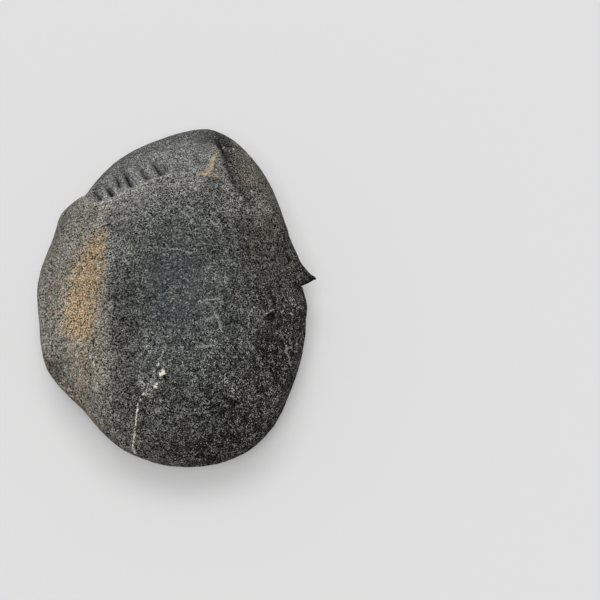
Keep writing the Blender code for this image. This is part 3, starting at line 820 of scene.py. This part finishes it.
def seen(red, green, blue):
    """A colour as seen on a screen, from 0 to 255, as the linear colour that a shader takes."""
    return tuple(((part / 255.0 + 0.055) / 1.055) ** 2.4 for part in (red, green, blue)) + (1.0,)


print("shale started:", shale.name)

# %% Set up clouds and grains
in_object = put("ShaderNodeTexCoord").outputs["Object"]
metres_to_mm = {"Vector": in_object, "Scale": (1000.0, 1000.0, 1000.0)}
in_mm = put("ShaderNodeMapping", metres_to_mm).outputs["Vector"]


def cloud(spacing, detail=2.0, roughness=0.5):
    """Soft noise with patches this far apart, in millimetres."""
    inputs = {"Vector": in_mm, "Scale": 1.0 / spacing, "Detail": detail, "Roughness": roughness}
    return put("ShaderNodeTexNoise", inputs).outputs["Fac"]


def grains(size):
    """Cells of this size in millimetres: three random numbers from 0 to 1 for each, and a distance."""
    cells = put("ShaderNodeTexVoronoi", {"Vector": in_mm, "Scale": 1.0 / size}, feature="F1")
    numbers = put("ShaderNodeSeparateColor", {0: cells.outputs["Color"]})
    return numbers.outputs[0], numbers.outputs[1], numbers.outputs[2], cells.outputs["Distance"]


broad_patches = cloud(14.0, 4.0)
small_patches = cloud(3.5, 3.0)
edge_wander = cloud(1.2, 2.0)
bumpy = cloud(0.45, 1.0, 0.7)
grain, grain_kind, grain_tint, _ = grains(0.22)
coarse_grain, coarse_kind, _, coarse_gap = grains(0.55)
_, salt_kind, _, salt_gap = grains(0.28)
print("grains ready:", len(nodes), "nodes")

# %% [markdown]
# ## Ground colours
# The ground is olive brown, blue grey over the middle, and paler where the flank and the rim catch the
# most wear. On the real stone one zone gives way to the next grain by grain. So each soft mask is
# shifted by a random number for every grain before it is cut, and the border turns to salt and pepper.

# %% Choose the ground colours
DARK_OLIVE = seen(28, 27, 25)
PALE_OLIVE = seen(76, 76, 72)
BLUE_GREY = seen(57, 62, 63)
WINDOW_GREY = seen(112, 113, 111)
RIM_GREY = seen(86, 86, 84)
FLANK_GREY = seen(102, 100, 94)
LOW_FACET_BROWN = seen(76, 71, 65)
RUST_BROWN = seen(127, 106, 77)
ROLLED_EDGE_SHADE = seen(27, 27, 25)
UMBER = seen(74, 67, 56)
UMBER_SHARE, RUST_SHARE, ROLLED_EDGE_SHADE_SHARE = 0.45, 0.72, 0.25


def shifted(value, numbers, amount):
    """A value moved up and down by random numbers around a half."""
    return sums("ADD", value, sums("MULTIPLY", sums("SUBTRACT", numbers, 0.5), amount))


def by_grains(value, patches=0.6, softness=0.12):
    """Turns on as large a share of the grains as a soft mask from 0 to 1 asks for."""
    wider = shifted(sums("MULTIPLY", value, 1.4), small_patches, patches)
    return between(sums("SUBTRACT", wider, grain_kind), 0.2 - softness, 0.2 + softness)


print("ground colours ready")

# %% Lay the ground colours
heart_mask = by_grains(shifted(mask("heart"), broad_patches, 0.4), 0.8, 0.60)
flank = by_grains(mask("flank"), 1.2, 0.50)
rim_band = by_grains(between(mask("rim"), 1.10, 0.10), 1.2, 0.50)
warm_mask = by_grains(mask("warm"), 1.0, 0.30)
low_facet = between(shifted(mask("low_facet"), edge_wander, 0.8), -0.3, 0.5)
in_window = between(shifted(mask("in_window"), edge_wander, 0.5), -0.15, 0.25)
rust_mask = by_grains(mask("rust"), 0.7)

# From dark to pale olive towards the upper left: partly the crust's own colour, partly painted light and
# shade.
ground = layer_over(shifted(mask("bleached_and_lit"), broad_patches, 0.8), DARK_OLIVE, PALE_OLIVE)
ground = layer_over(heart_mask, ground, BLUE_GREY)
ground = layer_over(rim_band, ground, RIM_GREY)
ground = layer_over(flank, ground, FLANK_GREY)
ground = layer_over(low_facet, ground, LOW_FACET_BROWN)
ground = layer_over(sums("MULTIPLY", warm_mask, UMBER_SHARE), ground, UMBER)
ground = layer_over(sums("MULTIPLY", rust_mask, RUST_SHARE), ground, RUST_BROWN)
ground = layer_over(in_window, ground, WINDOW_GREY)
# Painted shade along the window's rolled outer edge.
ground = layer_over(sums("MULTIPLY", mask("rolled_rim_shade"), ROLLED_EDGE_SHADE_SHARE), ground, ROLLED_EDGE_SHADE)
print("ground laid:", len(nodes), "nodes")

# %% [markdown]
# ## Grain
# The grain makes the ground darker and lighter from point to point. Each grain multiplies the ground by
# ten to the power of a random number, because such factors look even to the eye. A soft shoulder holds
# the brightest factors back, as no grain is brighter than the mineral itself. The pale flank and the
# rust have the strongest grain, the smooth blue middle and the window the weakest.

# %% Sprinkle the grain
WINDOW_SHARE, HEART_SHARE, PALE_SHARE = 0.52, 0.34, 1.55
GRAIN_SWING, COARSE_SWING, PATCH_SWING, PEPPER = 4.2, 0.12, 0.5, 0.25
CRUST_SHOULDER, PALE_SHOULDER = 0.12, 0.40
wisps = cloud(2.2, 4.0, 0.65)
worn_pale = sums("MAXIMUM", flank, rust_mask)
pale_zone = sums("MAXIMUM", rim_band, worn_pale)
swing_in_window = between(in_window, 0.0, 1.0, 1.0, WINDOW_SHARE)
swing = sums("MULTIPLY", swing_in_window, between(heart_mask, 0.0, 1.0, 1.0, HEART_SHARE))
swing = sums("MULTIPLY", swing, between(worn_pale, 0.0, 1.0, 1.0, PALE_SHARE))
swing = sums("MULTIPLY", swing, between(wisps, 0.35, 0.65, 0.80, 1.15))
speckle = shifted(0.0, grain, GRAIN_SWING)
speckle = shifted(speckle, coarse_grain, COARSE_SWING)
speckle = shifted(speckle, small_patches, PATCH_SWING)
speckle = sums("MULTIPLY", speckle, swing)
pepper = sums("MULTIPLY", between(coarse_kind, 0.22, 0.12), between(coarse_gap, 0.60, 0.35))
speckle = sums("SUBTRACT", speckle, sums("MULTIPLY", sums("MULTIPLY", pepper, swing), PEPPER))
factor = sums("POWER", 10.0, speckle)
pale_or_open = sums("MAXIMUM", pale_zone, in_window)
shoulder = between(pale_or_open, 0.0, 1.0, CRUST_SHOULDER, PALE_SHOULDER)
room_above = sums("ADD", sums("MULTIPLY", factor, shoulder), 1.0)
factor = sums("DIVIDE", sums("MULTIPLY", factor, sums("ADD", shoulder, 1.0)), room_above)
grain_gray = put("ShaderNodeCombineColor", {0: factor, 1: factor, 2: factor}).outputs[0]
grained = layer_over(1.0, ground, grain_gray, "MULTIPLY")
print("grain on:", len(nodes), "nodes")

# %% [markdown]
# ## Salt, tones and flecks
# Single pale mineral grains stand out like salt. They lie in drifts, so soft noise thins them. Over
# them go the paler and darker patches with the painted shade and highlights among them, small scuffs,
# a faint warm or cool tint for each grain, and a few large flecks.

# %% Add salt, tones and flecks
SALT = seen(190, 190, 185)
WINDOW_SALT = seen(220, 220, 215)
WARM_SALT = seen(226, 219, 206)
SALT_SHARE, HEART_SALT_SHARE = 0.82, 0.45
SCUFF_TONE = 0.13
WARM_GRAIN, COOL_GRAIN = (1.04, 1.0, 0.95, 1.0), (0.97, 1.0, 1.03, 1.0)
FLECK, FLECK_SHARE = seen(214, 212, 204), 0.7
salt_drifts = between(shifted(salt_kind, wisps, 1.0), 0.88, 0.95)
salt = sums("MULTIPLY", salt_drifts, between(salt_gap, 0.85, 0.50))
salt_colour = layer_over(worn_pale, layer_over(in_window, SALT, WINDOW_SALT), WARM_SALT)
salt = sums("MULTIPLY", salt, between(heart_mask, 0.0, 1.0, SALT_SHARE, HEART_SALT_SHARE))
grained = layer_over(salt, grained, salt_colour)
scuffs = sums("MULTIPLY", between(cloud(4.5, 5.0, 0.70), 0.54, 0.70), SCUFF_TONE)
# The tone holds the painted shade and highlights as well as the paler and darker patches.
toned = sums("POWER", 10.0, sums("ADD", mask("tone"), scuffs))
tone_gray = put("ShaderNodeCombineColor", {0: toned, 1: toned, 2: toned}).outputs[0]
grained = layer_over(1.0, grained, tone_gray, "MULTIPLY")
grained = layer_over(1.0, grained, layer_over(grain_tint, WARM_GRAIN, COOL_GRAIN), "MULTIPLY")
fleck_mask = sums("MULTIPLY", between(coarse_kind, 0.968, 0.978), between(coarse_gap, 0.36, 0.20))
grained = layer_over(sums("MULTIPLY", fleck_mask, FLECK_SHARE), grained, FLECK)
print("salt on:", len(nodes), "nodes")

# %% [markdown]
# ## Silt, painted shade and veins
# The grooves hold dark silt together with painted shade, and the crease, the chip's step and the
# spur's edge get painted shade in the same dark colour. The crack is darker along its line too. The
# veins, the scratches and the painted highlights go over it. Each is cut from its own mask, and a
# little noise frays its edge.

# %% Add silt and veins
DARK_SILT_AND_SHADE = seen(14, 14, 13)
TAN = seen(216, 190, 154)
CALCITE = seen(238, 232, 216)
PALE = seen(178, 178, 171)
GROOVE_SHARE, SEAM_SHARE, TAN_SHARE, CALCITE_SHARE, PALE_LINE_SHARE = 0.8, 0.94, 0.8, 0.94, 0.75
frayed_groove = shifted(shifted(mask("groove"), edge_wander, 0.7), grain_kind, 0.3)
# Dark silt with painted shade in the grooves, then painted shade in the dark seams.
silted_and_shaded = layer_over(sums("MULTIPLY", between(frayed_groove, 0.15, 0.75), GROOVE_SHARE), grained, DARK_SILT_AND_SHADE)
silted_and_shaded = layer_over(sums("MULTIPLY", mask("dark_seam"), SEAM_SHARE), silted_and_shaded, DARK_SILT_AND_SHADE)
frayed_tan = shifted(shifted(mask("tan_vein"), edge_wander, 3.0), grain_kind, 1.6)
veined = layer_over(sums("MULTIPLY", between(frayed_tan, 0.25, 0.0), TAN_SHARE), silted_and_shaded, TAN)
frayed_white = shifted(shifted(mask("white_vein"), grain_kind, 0.45), edge_wander, 0.7)
veined = layer_over(sums("MULTIPLY", between(frayed_white, 0.10, -0.06), CALCITE_SHARE), veined, CALCITE)
pale_grains = by_grains(sums("MULTIPLY", mask("pale_line"), 0.65), 0.8, 0.10)
veined = layer_over(sums("MULTIPLY", pale_grains, PALE_LINE_SHARE), veined, PALE)
links.new(veined, shader.inputs["Base Color"])
print("veins in:", len(nodes), "nodes")

# %% [markdown]
# ## Matt surface and grain bump
# A dry river stone is matt all over, so it has no clear highlights at all. Fine noise varies the
# roughness a little, and the same noise as a very low bump lets single grains catch the light.

# %% Finish the surface
LEAST_ROUGH, MOST_ROUGH = 0.65, 0.85
BUMP_STRENGTH, BUMP_HEIGHT = 0.8, 0.00030
roughness = between(bumpy, 0.3, 0.7, LEAST_ROUGH, MOST_ROUGH)
links.new(roughness, shader.inputs["Roughness"])
shader.inputs["Metallic"].default_value = 0.0
shader.inputs["Specular IOR Level"].default_value = 0.0
bump = put("ShaderNodeBump", {"Strength": BUMP_STRENGTH, "Distance": BUMP_HEIGHT, "Height": bumpy})
links.new(bump.outputs["Normal"], shader.inputs["Normal"])
stone_mesh.materials.append(shale)
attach(stone, "root")
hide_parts(SOLID)
print("shale nodes:", len(nodes))

# %% [markdown]
# ## Table and light
# The stone lies on a plain pale table. One broad light hangs almost straight above, another shines from
# high in front of the stone, and the pale room around fills in the rest. So only a soft shadow gathers
# where the stone curls under at its near edge.

# %% Lay the table
TABLE_HALF = 3.0
TABLE_GREY = (0.8, 0.8, 0.8, 1.0)
table_shape = bmesh.new()
bmesh.ops.create_grid(table_shape, x_segments=1, y_segments=1, size=TABLE_HALF)
table_mesh = bpy.data.meshes.new("pale_table")
table_shape.to_mesh(table_mesh)
table_shape.free()
table = bpy.data.objects.new("pale_table", table_mesh)
bpy.context.scene.collection.objects.link(table)
pale_paint = bpy.data.materials.new("pale_paint")
pale_paint.use_nodes = True
paint_shader = pale_paint.node_tree.nodes["Principled BSDF"]
paint_shader.inputs["Base Color"].default_value = TABLE_GREY
paint_shader.inputs["Roughness"].default_value = 1.0
paint_shader.inputs["Specular IOR Level"].default_value = 0.0
table_mesh.materials.append(pale_paint)
print("table, m across:", 2.0 * TABLE_HALF)

# %% Light it
LIGHTS = (  # name, where it shines from, strength, spread in degrees
    ("broad_key", (0.03, 0.10, 0.99), 0.80, 30.0),
    ("soft_fill", (0.03, -0.40, 0.91), 1.60, 25.0),
)
ROOM_STRENGTH = 0.22
for name, shines_from, strength, spread in LIGHTS:
    light = bpy.data.lights.new(name, "SUN")
    light.energy = strength
    light.angle = math.radians(spread)
    hung = bpy.data.objects.new(name, light)
    hung.rotation_euler = Vector(shines_from).to_track_quat("Z", "Y").to_euler()
    bpy.context.scene.collection.objects.link(hung)
room = bpy.data.worlds.new("pale_room")
room.use_nodes = True
air = room.node_tree.nodes["Background"]
air.inputs["Color"].default_value = (1.0, 1.0, 1.0, 1.0)
air.inputs["Strength"].default_value = ROOM_STRENGTH
bpy.context.scene.world = room
bpy.context.scene.view_settings.view_transform = "Standard"
print("lights:", len(LIGHTS))
